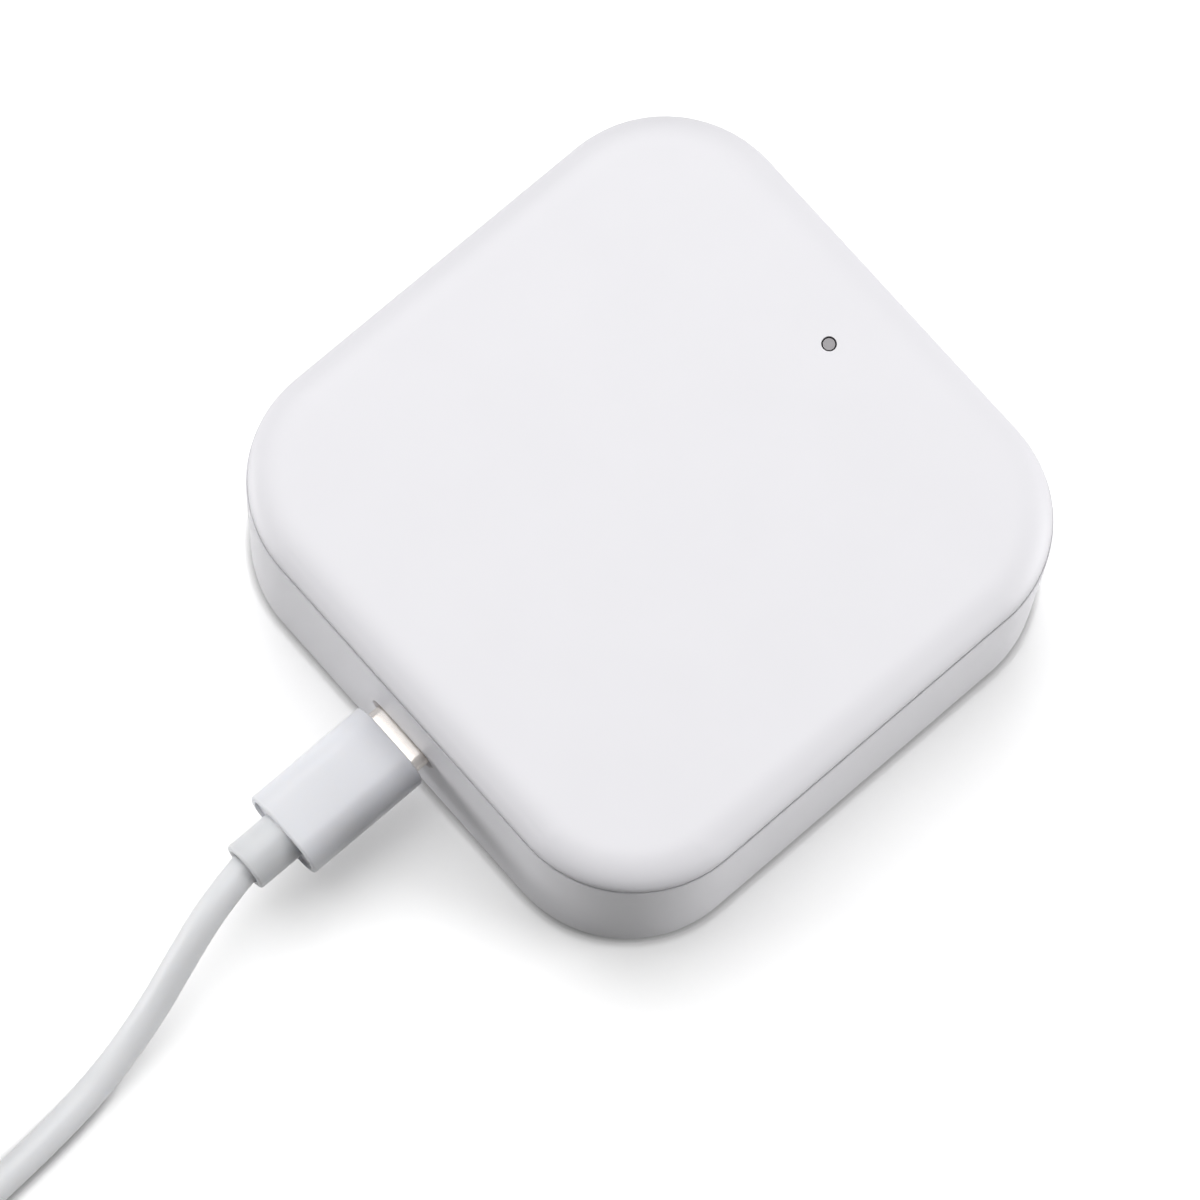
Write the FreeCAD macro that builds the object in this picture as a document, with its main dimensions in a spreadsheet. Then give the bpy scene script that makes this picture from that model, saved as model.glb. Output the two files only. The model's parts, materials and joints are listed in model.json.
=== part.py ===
import FreeCAD, Part
import math
import os
import Sketcher

# A small gateway for door locks: a white rounded square case of two mouldings,
# its board and radios inside, and the lead that powers it.
# Frame: millimetres, +Z up, origin under the middle of the case on the surface.
# The lead's port is on the -Y side and the indicator near the +Y side.

SIZES = [
    ("case_side", 70.0, "width and depth of the case"),
    ("case_height", 26.0, "top of the case above the surface"),
    ("corner_radius", 15.0, "plan radius of the four corners"),
    ("wall", 2.0, "side wall"),
    ("floor_thick", 2.0, "floor of the base"),
    ("roof_thick", 2.0, "top of the cover"),
    ("edge_width", 4.5, "round from the top to the sides, in plan"),
    ("edge_height", 2.4, "round from the top to the sides, in height"),
    ("core_bevel", 1.0, "bevel inside the cover, under that round"),
    ("base_bevel", 0.6, "bevel under the base's outer edge"),
    ("lip_height", 2.0, "cover's lip inside the base"),
    ("lip_thick", 0.9, "thickness of that lip"),
    ("fit_gap", 0.1, "clearance round a piece that is seated"),
    ("foot_thick", 0.5, "rubber pads under the base"),
    ("foot_dia", 9.0, "rubber pad"),
    ("screw_inset", 9.5, "case screws and feet in from the sides"),
    ("column_dia", 7.0, "screw column of the base"),
    ("column_height", 9.5, "screw column above the base's floor"),
    ("column_web", 2.5, "end of the column that the screw clamps"),
    ("screw_play", 0.2, "clearance round a case screw and its head"),
    ("screw_dia", 2.4, "case screw"),
    ("screw_length", 9.0, "case screw under its head"),
    ("pilot_spare", 1.0, "depth of the boss's hole beyond the case screw"),
    ("screw_head_dia", 4.6, "case screw head"),
    ("screw_head_height", 1.6, "case screw head"),
    ("boss_dia", 6.0, "screw boss of the cover"),
    ("lamp_inset", 9.5, "indicator in from the +Y side"),
    ("lamp_hole", 1.7, "hole for the light pipe in the top"),
    ("pipe_dia", 1.35, "light pipe where it shows"),
    ("pipe_sunk", 0.15, "its end below the top"),
    ("pipe_foot_dia", 3.2, "light pipe over the lamp"),
    ("pipe_guide_dia", 4.2, "guide under the cover's roof"),
    ("pipe_guide_drop", 3.0, "length of that guide"),
    ("board_thick", 1.6, "main board"),
    ("board_corner", 2.0, "corner of the main board"),
    ("board_gap", 0.7, "main board to the front wall"),
    ("board_back_gap", 3.5, "main board to the back wall"),
    ("board_side_gap", 0.5, "main board to the screw columns"),
    ("post_dia", 5.0, "post under the board"),
    ("post_inset", 3.5, "posts in from the board's sides"),
    ("post_front", 8.0, "front posts behind the board's front edge"),
    ("post_back", 5.0, "back posts before the board's back edge"),
    ("board_hole", 2.4, "hole in the board for its screw"),
    ("board_screw_dia", 1.6, "board screw"),
    ("board_screw_length", 5.0, "board screw under its head"),
    ("board_screw_head", 4.0, "board screw head"),
    ("board_screw_rise", 1.2, "board screw head height"),
    ("port_height", 11.4, "axis of the port above the surface"),
    ("port_clear", 0.75, "port round the plug's metal shell"),
    ("socket_play", 0.1, "socket shell round the plug's metal shell"),
    ("socket_wall", 0.3, "socket shell"),
    ("socket_length", 7.35, "socket shell"),
    ("socket_inset", 0.8, "socket mouth behind the outer wall"),
    ("socket_block", 2.0, "insulator at the back of the socket"),
    ("tongue_side_play", 0.2, "tongue to the sides of the plug's slot"),
    ("tongue_play", 0.1, "tongue to the long faces of the plug's slot"),
    ("tongue_back", 1.0, "tongue tip behind the socket mouth"),
    ("tongue_round", 0.15, "long edges of the tongue"),
    ("plug_gap", 1.7, "bare metal between the wall and the plug body"),
    ("plug_shell_width", 8.25, "metal shell of the plug"),
    ("plug_shell_tall", 2.4, "metal shell of the plug"),
    ("plug_shell_wall", 0.3, "metal shell of the plug"),
    ("plug_shell_out", 6.65, "metal shell in front of the plug body"),
    ("plug_seat", 3.0, "metal shell inside the plug body"),
    ("plug_slot_width", 7.0, "slot for the tongue"),
    ("plug_slot_tall", 0.9, "slot for the tongue"),
    ("plug_slot_deep", 5.5, "slot for the tongue"),
    ("plug_slot_round", 0.2, "corners of that slot"),
    ("plug_width", 10.6, "sleeve of the plug"),
    ("plug_tall", 6.6, "sleeve of the plug"),
    ("plug_length", 15.3, "sleeve of the plug"),
    ("plug_side_flat", 0.6, "flat between the rounds of the sleeve's sides"),
    ("plug_rim", 0.4, "thin rim round the recess in its rear end"),
    ("plug_recess", 0.8, "depth of that recess"),
    ("collar_dia", 5.8, "strain relief"),
    ("collar_length", 5.4, "strain relief behind the sleeve"),
    ("collar_bevel", 0.4, "bevel of its end"),
    ("cord_dia", 3.5, "cord"),
    ("coil_mean_dia", 42.0, "middle of the coil's turns"),
    ("coil_columns", 4.0, "turns side by side in the coil"),
    ("coil_layers", 2.0, "turns on top of each other in the coil"),
    ("coil_aside", 14.0, "middle of the coil from the port's axis, towards -X"),
    ("coil_away", 72.6, "middle of the coil beyond the plug's strain relief"),
    ("tail_inset", 0.25, "power plug's axis inside the line of the coil's outer turn"),
    ("far_away", 21.0, "power plug's strain relief beyond the middle of the coil"),
    ("far_width", 15.6, "body of the power plug"),
    ("far_tall", 7.6, "body of the power plug"),
    ("far_length", 22.0, "body of the power plug"),
    ("far_side_round", 2.4, "long edges of that body"),
    ("far_shell_width", 12.0, "metal shell of the power plug"),
    ("far_shell_tall", 4.5, "metal shell of the power plug"),
    ("far_shell_wall", 0.3, "metal shell of the power plug"),
    ("far_shell_out", 12.0, "metal shell in front of the body"),
    ("far_insert_tall", 1.8, "contact block in that shell"),
    ("far_contact_length", 8.0, "contact strip"),
    ("far_contact_width", 1.0, "contact strip"),
    ("far_contact_thick", 0.2, "contact strip"),
    ("far_contact_pitch", 2.2, "contact strips side by side"),
    ("far_contact_inset", 1.0, "contact strips in from the end of their block"),
    ("module_width", 18.0, "radio module board along X"),
    ("module_length", 25.5, "radio module board along Y"),
    ("module_thick", 0.8, "radio module board"),
    ("module_side_gap", 2.0, "radio module in from the board's +X edge"),
    ("module_back", 27.5, "middle of the radio module from the board's back edge"),
    ("can_gap", 1.6, "shield to the printed antenna"),
    ("can_height", 2.4, "radio module shield"),
    ("can_bevel", 0.4, "upper edges of the shield"),
    ("can_inset", 1.1, "shield in from the module's front and side edges"),
    ("trace_width", 0.6, "printed antenna line"),
    ("trace_thick", 0.1, "printed antenna line"),
    ("trace_pitch", 1.8, "printed antenna, line to line"),
    ("trace_reach", 4.0, "printed antenna, length of a line"),
    ("trace_inset", 1.2, "printed antenna in from the module's back edge"),
    ("chip_side", 5.0, "lock radio chip"),
    ("chip_height", 0.9, "lock radio chip"),
    ("chip_aside", 10.5, "middle of the lock radio chip from the radio module"),
    ("chip_back", 15.5, "middle of the lock radio chip from the board's back edge"),
    ("crystal_length", 3.2, "crystal"),
    ("crystal_width", 2.5, "crystal"),
    ("crystal_height", 0.7, "crystal"),
    ("part_gap", 1.5, "parts on the board, side to side"),
    ("ceramic_antenna_length", 7.0, "ceramic antenna"),
    ("ceramic_antenna_width", 2.0, "ceramic antenna"),
    ("ceramic_antenna_height", 1.2, "ceramic antenna"),
    ("memory_length", 4.9, "memory chip body"),
    ("memory_width", 3.9, "memory chip body"),
    ("memory_height", 1.5, "memory chip body"),
    ("memory_back", 28.5, "middle of the memory chip from the board's back edge"),
    ("lead_width", 0.4, "lead of a chip"),
    ("lead_thick", 0.25, "lead of a chip"),
    ("lead_reach", 1.0, "lead of a chip"),
    ("lead_pitch", 1.27, "leads of a chip"),
    ("regulator_length", 6.5, "voltage regulator body"),
    ("regulator_width", 3.5, "voltage regulator body"),
    ("regulator_height", 1.6, "voltage regulator body"),
    ("regulator_front", 20.3, "middle of the regulator from the board's front edge"),
    ("regulator_pitch", 2.3, "its leads"),
    ("bulk_length", 3.5, "bulk capacitor"),
    ("bulk_width", 2.8, "bulk capacitor"),
    ("bulk_height", 1.9, "bulk capacitor"),
    ("small_length", 1.6, "small capacitor or resistor"),
    ("small_width", 0.8, "small capacitor or resistor"),
    ("capacitor_height", 0.8, "small capacitor"),
    ("resistor_height", 0.45, "small resistor"),
    ("small_pitch", 2.0, "small parts in a row"),
    ("lamp_length", 2.0, "indicator lamp"),
    ("lamp_width", 1.25, "indicator lamp"),
    ("lamp_height", 0.8, "indicator lamp"),
    ("lamp_gap", 0.3, "indicator lamp to the light pipe"),
]

# The free stretch of the cord, point by point: across from the port's axis, along
# from the end of the plug's strain relief, and up from where the cord lies flat.
# It starts just inside the strain relief and ends in the coil.
CORD_ROUTE = [
    (0.0, 0.3, 9.68),
    (0.3, -4.8, 9.02),
    (1.65, -10.6, 6.5),
    (3.5, -17.0, 3.2),
    (5.3, -24.8, 0.55),
    (6.6, -33.6, 0.0),
    (7.4, -45.2, 0.0),
    (8.0, -56.6, 0.0),
]

# Share of the shorter run that an arc of the cord takes up.
ARC_SHARE = 0.45

# Rings that carry the cover's round edge.
ROUND_STEPS = 8

# Two places count as the same one within this distance.
SAME_PLACE = 1e-4

doc = FreeCAD.newDocument("Gateway")
sheet = doc.addObject("Spreadsheet::Sheet", "Sizes")
for row, (alias, size, words) in enumerate(SIZES, start=1):
    sheet.set(f"A{row}", words)
    sheet.set(f"B{row}", str(size))
    sheet.setAlias(f"B{row}", alias)
doc.recompute()

NODES = []


def expand(text):
    """Return an expression with every size named through the sheet."""
    for alias, _, _ in SIZES:
        text = text.replace(f"<{alias}>", f"Sizes.{alias}")
    return text


def value(text):
    """Return the number that an expression has now."""
    return float(sheet.evalExpression(expand(text)))


def keep(item, label=None):
    """Give a finished sub-part its label and put it on the list to be written."""
    item.Label = label or item.Name
    NODES.append(item)
    return item


# Heights that several pieces share, as expressions of the sheet's sizes.
BASE_TOP = "(<case_height> - <edge_height>)"
FLOOR_TOP = "(<foot_thick> + <floor_thick>)"
ROOF_UNDER = "(<case_height> - <roof_thick>)"
COLUMN_TOP = f"({FLOOR_TOP} + <column_height>)"
SOCKET_WIDTH = "(<plug_shell_width> + 2 * <socket_play> + 2 * <socket_wall>)"
SOCKET_TALL = "(<plug_shell_tall> + 2 * <socket_play> + 2 * <socket_wall>)"
BOARD_TOP = f"(<port_height> - {SOCKET_TALL} / 2)"
BOARD_UNDER = f"({BOARD_TOP} - <board_thick>)"
BOARD_FRONT = "(<case_side> / 2 - <wall> - <board_gap>)"
BOARD_BACK = "(<case_side> / 2 - <wall> - <board_back_gap>)"
SCREW_SPOT = "(<case_side> / 2 - <screw_inset>)"
BOARD_SIDE = f"({SCREW_SPOT} - <column_dia> / 2 - <board_side_gap>)"
POST_X = f"({BOARD_SIDE} - <post_inset>)"
POST_FRONT = f"({BOARD_FRONT} - <post_front>)"
POST_BACK = f"({BOARD_BACK} - <post_back>)"
LAMP_Y = "(<case_side> / 2 - <lamp_inset>)"
MODULE_X = f"({BOARD_SIDE} - <module_side_gap> - <module_width> / 2)"
MODULE_Y = f"({BOARD_BACK} - <module_back>)"
CHIP_X = f"({MODULE_X} - <module_width> / 2 - <chip_aside>)"
CHIP_Y = f"({BOARD_BACK} - <chip_back>)"
MEMORY_Y = f"({BOARD_BACK} - <memory_back>)"
REGULATOR_Y = f"(<regulator_front> - {BOARD_FRONT})"
PLUG_FRONT = "(<case_side> / 2 + <plug_gap>)"
PLUG_REAR = f"({PLUG_FRONT} + <plug_length>)"
PLUG_SIDE_ROUND = "((<plug_tall> - <plug_side_flat>) / 2)"
CORD_EXIT = f"({PLUG_REAR} + <collar_length>)"
COIL_X = "(0 - <coil_aside>)"
COIL_Y = f"(0 - {CORD_EXIT} - <coil_away>)"
OUTER_TURN = "(<coil_mean_dia> / 2 + (<coil_columns> - 1) * <cord_dia> / 2)"
FAR_X = f"({COIL_X} + {OUTER_TURN} - <tail_inset>)"
FAR_END = f"(<far_away> - {COIL_Y})"
FAR_FRONT = f"({FAR_END} + <collar_length>)"


def origin_plane(body, role):
    """Return one of a body's own planes."""
    return next(item for item in body.Origin.OriginFeatures if item.Role == role)


def new_body(name):
    """Start a body that becomes the node of that name."""
    return keep(doc.addObject("PartDesign::Body", name))


def new_sketch(body, name, height="0", role="XY_Plane", across="0", along="0"):
    """Start a sketch on a body's plane, moved by expressions."""
    sketch = body.newObject("Sketcher::SketchObject", f"{body.Name}_{name}")
    sketch.AttachmentSupport = [(origin_plane(body, role), "")]
    sketch.MapMode = "FlatFace"
    sketch.setExpression("AttachmentOffset.Base.x", expand(across))
    sketch.setExpression("AttachmentOffset.Base.y", expand(along))
    sketch.setExpression("AttachmentOffset.Base.z", expand(height))
    return sketch


def front_sketch(body, name, front, across="0", along="<port_height>"):
    """Start a sketch that faces -Y, at a distance in front of the middle."""
    return new_sketch(body, name, front, "XZ_Plane", across, along)


def bind(sketch, constraint, text):
    """Add a constraint whose size is an expression."""
    index = sketch.addConstraint(constraint)
    sketch.setExpression(f"Constraints[{index}]", expand(text))


def draw_rounded(sketch, width, tall, radius):
    """Draw a rectangle with round corners about the sketch's origin."""
    x = value(width) / 2
    y = value(tall) / 2
    r = value(radius)
    point = FreeCAD.Vector
    corners = [(x - r, y - r, 0.0), (r - x, y - r, 0.5), (r - x, r - y, 1.0), (x - r, r - y, 1.5)]
    sides = [
        (point(r - x, y, 0), point(x - r, y, 0)),
        (point(-x, r - y, 0), point(-x, y - r, 0)),
        (point(x - r, -y, 0), point(r - x, -y, 0)),
        (point(x, y - r, 0), point(x, r - y, 0)),
    ]
    lines = [sketch.addGeometry(Part.LineSegment(a, b)) for a, b in sides]
    arcs = []
    for cx, cy, turn in corners:
        circle = Part.Circle(point(cx, cy, 0), point(0, 0, 1), r)
        arc = Part.ArcOfCircle(circle, turn * math.pi, (turn + 0.5) * math.pi)
        arcs.append(sketch.addGeometry(arc))
    top, left, bottom, right = lines
    join = Sketcher.Constraint
    # An arc starts at its end 1 and stops at its end 2, anticlockwise.
    for arc, starts_on, start_end, stops_on, stop_end in [
        (arcs[0], right, 1, top, 2),
        (arcs[1], top, 1, left, 2),
        (arcs[2], left, 1, bottom, 2),
        (arcs[3], bottom, 1, right, 2),
    ]:
        sketch.addConstraint(join("Tangent", arc, 1, starts_on, start_end))
        sketch.addConstraint(join("Tangent", arc, 2, stops_on, stop_end))
    for arc in arcs[1:]:
        sketch.addConstraint(join("Equal", arcs[0], arc))
    sketch.addConstraint(join("Horizontal", top))
    sketch.addConstraint(join("Vertical", left))
    sketch.addConstraint(join("Symmetric", top, 1, bottom, 1, -1, 1))
    bind(sketch, join("Radius", arcs[0], r), radius)
    bind(sketch, join("DistanceX", left, 1, right, 1, 2 * x), width)
    bind(sketch, join("DistanceY", bottom, 1, top, 1, 2 * y), tall)
    return sketch


def draw_slot(sketch, width, tall):
    """Draw a slot with round ends about the sketch's origin."""
    y = value(tall) / 2
    x = value(width) / 2 - y
    point = FreeCAD.Vector
    top = sketch.addGeometry(Part.LineSegment(point(x, y, 0), point(-x, y, 0)))
    bottom = sketch.addGeometry(Part.LineSegment(point(-x, -y, 0), point(x, -y, 0)))
    half = math.pi / 2
    left = Part.ArcOfCircle(Part.Circle(point(-x, 0, 0), point(0, 0, 1), y), half, 3 * half)
    right = Part.ArcOfCircle(Part.Circle(point(x, 0, 0), point(0, 0, 1), y), -half, half)
    left = sketch.addGeometry(left)
    right = sketch.addGeometry(right)
    join = Sketcher.Constraint
    sketch.addConstraint(join("Tangent", left, 1, top, 2))
    sketch.addConstraint(join("Tangent", left, 2, bottom, 1))
    sketch.addConstraint(join("Tangent", right, 1, bottom, 2))
    sketch.addConstraint(join("Tangent", right, 2, top, 1))
    sketch.addConstraint(join("Horizontal", top))
    sketch.addConstraint(join("Symmetric", left, 3, right, 3, -1, 1))
    bind(sketch, join("Radius", left, y), f"({tall}) / 2")
    bind(sketch, join("DistanceX", left, 3, right, 3, 2 * x), f"({width}) - ({tall})")
    return sketch


def draw_circles(sketch, spots, diameter):
    """Draw a circle at each spot, given as sign and expression for both axes."""
    join = Sketcher.Constraint
    origin = (-1, 1)
    for sign_x, size_x, sign_y, size_y in spots:
        centre = FreeCAD.Vector(sign_x * value(size_x), sign_y * value(size_y), 0)
        circle = Part.Circle(centre, FreeCAD.Vector(0, 0, 1), value(diameter) / 2)
        index = sketch.addGeometry(circle)
        bind(sketch, join("Diameter", index, value(diameter)), diameter)
        for kind, sign, size, axis in [
            ("DistanceX", sign_x, size_x, -2),
            ("DistanceY", sign_y, size_y, -1),
        ]:
            if sign == 0:
                sketch.addConstraint(join("PointOnObject", index, 3, axis))
            elif sign > 0:
                bind(sketch, join(kind, *origin, index, 3, value(size)), size)
            else:
                bind(sketch, join(kind, index, 3, *origin, value(size)), size)
    return sketch


def draw_profile(sketch, points):
    """Draw a closed outline through points, each a pair of expressions from the origin."""
    numbers = [FreeCAD.Vector(value(x), value(y), 0) for x, y in points]
    join = Sketcher.Constraint
    count = len(points)
    lines = []
    for index, start in enumerate(numbers):
        end = numbers[(index + 1) % count]
        lines.append(sketch.addGeometry(Part.LineSegment(start, end)))
    for index, (x, y) in enumerate(points):
        sketch.addConstraint(join("Coincident", lines[index - 1], 2, lines[index], 1))
        for kind, size, number, axis in [
            ("DistanceX", x, numbers[index].x, -2),
            ("DistanceY", y, numbers[index].y, -1),
        ]:
            if size == "0":
                sketch.addConstraint(join("PointOnObject", lines[index], 1, axis))
            else:
                bind(sketch, join(kind, -1, 1, lines[index], 1, number), size)
    return sketch


def feature(kind, body, sketch, length, backwards=False):
    """Add a pad or a pocket and check that it changed the solid."""
    before = body.Shape.Volume if body.Tip else 0.0
    item = body.newObject(f"PartDesign::{kind}", f"{sketch.Name}_{kind.lower()}")
    item.Profile = sketch
    item.Reversed = backwards
    item.setExpression("Length", expand(length))
    doc.recompute()
    changed = item.Shape.Volume - before
    if kind == "Pad" and changed <= 0 or kind == "Pocket" and changed >= 0:
        raise RuntimeError(f"{item.Name} changes the volume by {changed:.3f}")
    return item


def pad(body, sketch, length, backwards=False):
    """Add material over a sketch."""
    return feature("Pad", body, sketch, length, backwards)


def pocket(body, sketch, length, backwards=False):
    """Remove material over a sketch."""
    return feature("Pocket", body, sketch, length, backwards)


def dress(kind, body, chooser, size):
    """Round or bevel the edges of a body's last feature that a test chooses."""
    base = body.Tip
    names = [f"Edge{i}" for i, edge in enumerate(base.Shape.Edges, start=1) if chooser(edge)]
    if not names:
        raise RuntimeError(f"{body.Name} has no edge to dress")
    item = body.newObject(f"PartDesign::{kind}", f"{body.Name}_{kind.lower()}")
    item.Base = (base, names)
    item.setExpression("Radius" if kind == "Fillet" else "Size", expand(size))
    doc.recompute()
    return item


def edge_at(axis, *places):
    """Return a test for edges that lie wholly at one of the places along an axis."""

    def chooser(edge):
        low = getattr(edge.BoundBox, f"{axis}Min")
        high = getattr(edge.BoundBox, f"{axis}Max")
        return any(max(abs(low - place), abs(high - place)) < SAME_PLACE for place in places)

    return chooser


def block(name, length, width, tall, x, y, z):
    """Make a box whose middle stands over x and y, with its underside at z."""
    item = doc.addObject("Part::Box", name)
    item.setExpression("Length", expand(length))
    item.setExpression("Width", expand(width))
    item.setExpression("Height", expand(tall))
    item.setExpression("Placement.Base.x", expand(f"({x}) - ({length}) / 2"))
    item.setExpression("Placement.Base.y", expand(f"({y}) - ({width}) / 2"))
    item.setExpression("Placement.Base.z", expand(z))
    return item


def bevelled(name, base, size, chooser):
    """Bevel the chosen edges of a primitive."""
    doc.recompute()
    item = doc.addObject("Part::Chamfer", name)
    item.Base = base
    radius = value(size)
    chosen = [i for i, edge in enumerate(base.Shape.Edges, start=1) if chooser(edge)]
    item.Edges = [(i, radius, radius) for i in chosen]
    doc.recompute()
    return item


def joined(name, pieces):
    """Fuse touching pieces into one solid."""
    item = doc.addObject("Part::MultiFuse", name)
    item.Shapes = pieces
    item.Refine = True
    return item


def group(name, pieces):
    """Hold separate like solids in one node."""
    item = doc.addObject("Part::Compound", name)
    item.Links = pieces
    return keep(item)


# Pads at four corners, and a case screw over the pads of one diagonal.
FOOT_SPOTS = [(sx, SCREW_SPOT, sy, SCREW_SPOT) for sx in (-1, 1) for sy in (-1, 1)]
SCREW_SPOTS = [spot for spot in FOOT_SPOTS if spot[0] == spot[2]]
# Posts carry the board at four spots, and a board screw holds it on one diagonal.
POST_SPOTS = [
    (sx, POST_X, sy, POST_FRONT if sy < 0 else POST_BACK)
    for sx in (-1, 1)
    for sy in (-1, 1)
]
LAMP_SPOT = [(0, "0", 1, LAMP_Y)]
BOARD_SCREW_SPOTS = [spot for spot in POST_SPOTS if spot[0] != spot[2]]
INNER_SIDE = "(<case_side> - 2 * <wall>)"
INNER_RADIUS = "(<corner_radius> - <wall>)"
LIP_SIDE = f"({INNER_SIDE} + 2 * <lip_thick>)"
LIP_RADIUS = f"({INNER_RADIUS} + <lip_thick>)"
SCREW_HOLE = "<screw_dia> + 2 * <screw_play>"
HEAD_HOLE = "<screw_head_dia> + 2 * <screw_play>"


def make_base_housing():
    """The lower moulding: an open box with a port, two screw columns and four posts."""
    body = new_body("base_housing")
    outline = new_sketch(body, "outline", "<foot_thick>")
    draw_rounded(outline, "<case_side>", "<case_side>", "<corner_radius>")
    pad(body, outline, f"{BASE_TOP} - <foot_thick>")
    dress("Chamfer", body, edge_at("Z", value("<foot_thick>")), "<base_bevel>")
    hollow = new_sketch(body, "hollow", BASE_TOP)
    draw_rounded(hollow, INNER_SIDE, INNER_SIDE, INNER_RADIUS)
    pocket(body, hollow, f"{BASE_TOP} - {FLOOR_TOP}")
    # The rabbet round the rim takes the cover's lip.
    side = f"({LIP_SIDE} + 2 * <fit_gap>)"
    rabbet = new_sketch(body, "rabbet", BASE_TOP)
    draw_rounded(rabbet, side, side, f"({LIP_RADIUS} + <fit_gap>)")
    pocket(body, rabbet, "<lip_height> + <fit_gap>")
    columns = draw_circles(new_sketch(body, "columns", FLOOR_TOP), SCREW_SPOTS, "<column_dia>")
    pad(body, columns, "<column_height>")
    posts = draw_circles(new_sketch(body, "posts", FLOOR_TOP), POST_SPOTS, "<post_dia>")
    pad(body, posts, f"{BOARD_UNDER} - {FLOOR_TOP}")
    post_holes = new_sketch(body, "post_holes", BOARD_UNDER)
    draw_circles(post_holes, BOARD_SCREW_SPOTS, "<board_screw_dia>")
    pocket(body, post_holes, "<board_screw_length>")
    heads = draw_circles(new_sketch(body, "heads", "<foot_thick>"), SCREW_SPOTS, HEAD_HOLE)
    pocket(body, heads, f"{COLUMN_TOP} - <column_web> - <foot_thick>", backwards=True)
    holes = draw_circles(new_sketch(body, "holes", COLUMN_TOP), SCREW_SPOTS, SCREW_HOLE)
    pocket(body, holes, "<column_web>")
    port = front_sketch(body, "port", "<case_side> / 2")
    clear = "2 * <port_clear>"
    draw_slot(port, f"<plug_shell_width> + {clear}", f"<plug_shell_tall> + {clear}")
    pocket(body, port, "<wall>")
    return body


def make_top_cover():
    """The upper moulding: a shell with a large edge round, a lip and two screw bosses."""
    core = doc.addObject("PartDesign::Body", "cover_core")
    lip_end = f"({BASE_TOP} - <lip_height>)"
    outline = new_sketch(core, "outline", lip_end)
    draw_rounded(outline, INNER_SIDE, INNER_SIDE, INNER_RADIUS)
    pad(core, outline, f"{ROOF_UNDER} - {lip_end}")
    # A bevel inside follows the round outside, so the wall stays thick enough round the edge.
    dress("Chamfer", core, edge_at("Z", value(ROOF_UNDER)), "<core_bevel>")
    body = new_body("top_cover")
    # The edge is a quarter of an ellipse, wider than tall, so the loft's rings follow one.
    rings = []
    for step in range(ROUND_STEPS + 1):
        turn = math.pi / 2 * step / ROUND_STEPS
        inset = f"({1 - math.cos(turn):.6f} * <edge_width>)"
        ring = new_sketch(body, f"ring_{step}", f"{BASE_TOP} + {math.sin(turn):.6f} * <edge_height>")
        side = f"(<case_side> - 2 * {inset})"
        rings.append(draw_rounded(ring, side, side, f"(<corner_radius> - {inset})"))
    loft = body.newObject("PartDesign::AdditiveLoft", "top_cover_edge")
    loft.Profile = rings[0]
    loft.Sections = rings[1:]
    loft.Ruled = False
    doc.recompute()
    lip = draw_rounded(new_sketch(body, "lip", BASE_TOP), LIP_SIDE, LIP_SIDE, LIP_RADIUS)
    pad(body, lip, "<lip_height>", backwards=True)
    hollow = body.newObject("PartDesign::Boolean", "top_cover_hollow")
    hollow.Type = "Cut"
    hollow.setObjects([core])
    doc.recompute()
    bosses = draw_circles(new_sketch(body, "bosses", ROOF_UNDER), SCREW_SPOTS, "<boss_dia>")
    pad(body, bosses, f"{ROOF_UNDER} - {COLUMN_TOP}", backwards=True)
    pilots = draw_circles(new_sketch(body, "pilots", COLUMN_TOP), SCREW_SPOTS, "<screw_dia>")
    pocket(body, pilots, "<screw_length> - <column_web> + <pilot_spare>", backwards=True)
    guide = draw_circles(new_sketch(body, "guide", ROOF_UNDER), LAMP_SPOT, "<pipe_guide_dia>")
    pad(body, guide, "<pipe_guide_drop>", backwards=True)
    hole = draw_circles(new_sketch(body, "lamp_hole", "<case_height>"), LAMP_SPOT, "<lamp_hole>")
    pocket(body, hole, "<roof_thick> + <pipe_guide_drop>")
    return body


def make_feet_and_screws():
    """The rubber pads, the case screws that they hide and the board screws."""
    feet = new_body("rubber_feet")
    pad(feet, draw_circles(new_sketch(feet, "discs"), FOOT_SPOTS, "<foot_dia>"), "<foot_thick>")
    screws = new_body("case_screws")
    clamp = f"({COLUMN_TOP} - <column_web>)"
    heads = draw_circles(new_sketch(screws, "heads", clamp), SCREW_SPOTS, "<screw_head_dia>")
    pad(screws, heads, "<screw_head_height>", backwards=True)
    shanks = draw_circles(new_sketch(screws, "shanks", clamp), SCREW_SPOTS, "<screw_dia>")
    pad(screws, shanks, "<screw_length>")
    small = new_body("board_screws")
    heads = draw_circles(new_sketch(small, "heads", BOARD_TOP), BOARD_SCREW_SPOTS, "<board_screw_head>")
    pad(small, heads, "<board_screw_rise>")
    shanks = draw_circles(new_sketch(small, "shanks", BOARD_TOP), BOARD_SCREW_SPOTS, "<board_screw_dia>")
    pad(small, shanks, "<board_screw_length>", backwards=True)


def make_light_pipe():
    """The clear pin that carries the lamp's light to the top, with a foot over the lamp."""
    body = new_body("light_pipe")
    guide_end = f"({ROOF_UNDER} - <pipe_guide_drop>)"
    foot = draw_circles(new_sketch(body, "foot", guide_end), LAMP_SPOT, "<pipe_foot_dia>")
    pad(body, foot, f"{guide_end} - {BOARD_TOP} - <lamp_height> - <lamp_gap>", backwards=True)
    pin = draw_circles(new_sketch(body, "pin", guide_end), LAMP_SPOT, "<pipe_dia>")
    pad(body, pin, f"<case_height> - <pipe_sunk> - {guide_end}")


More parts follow.
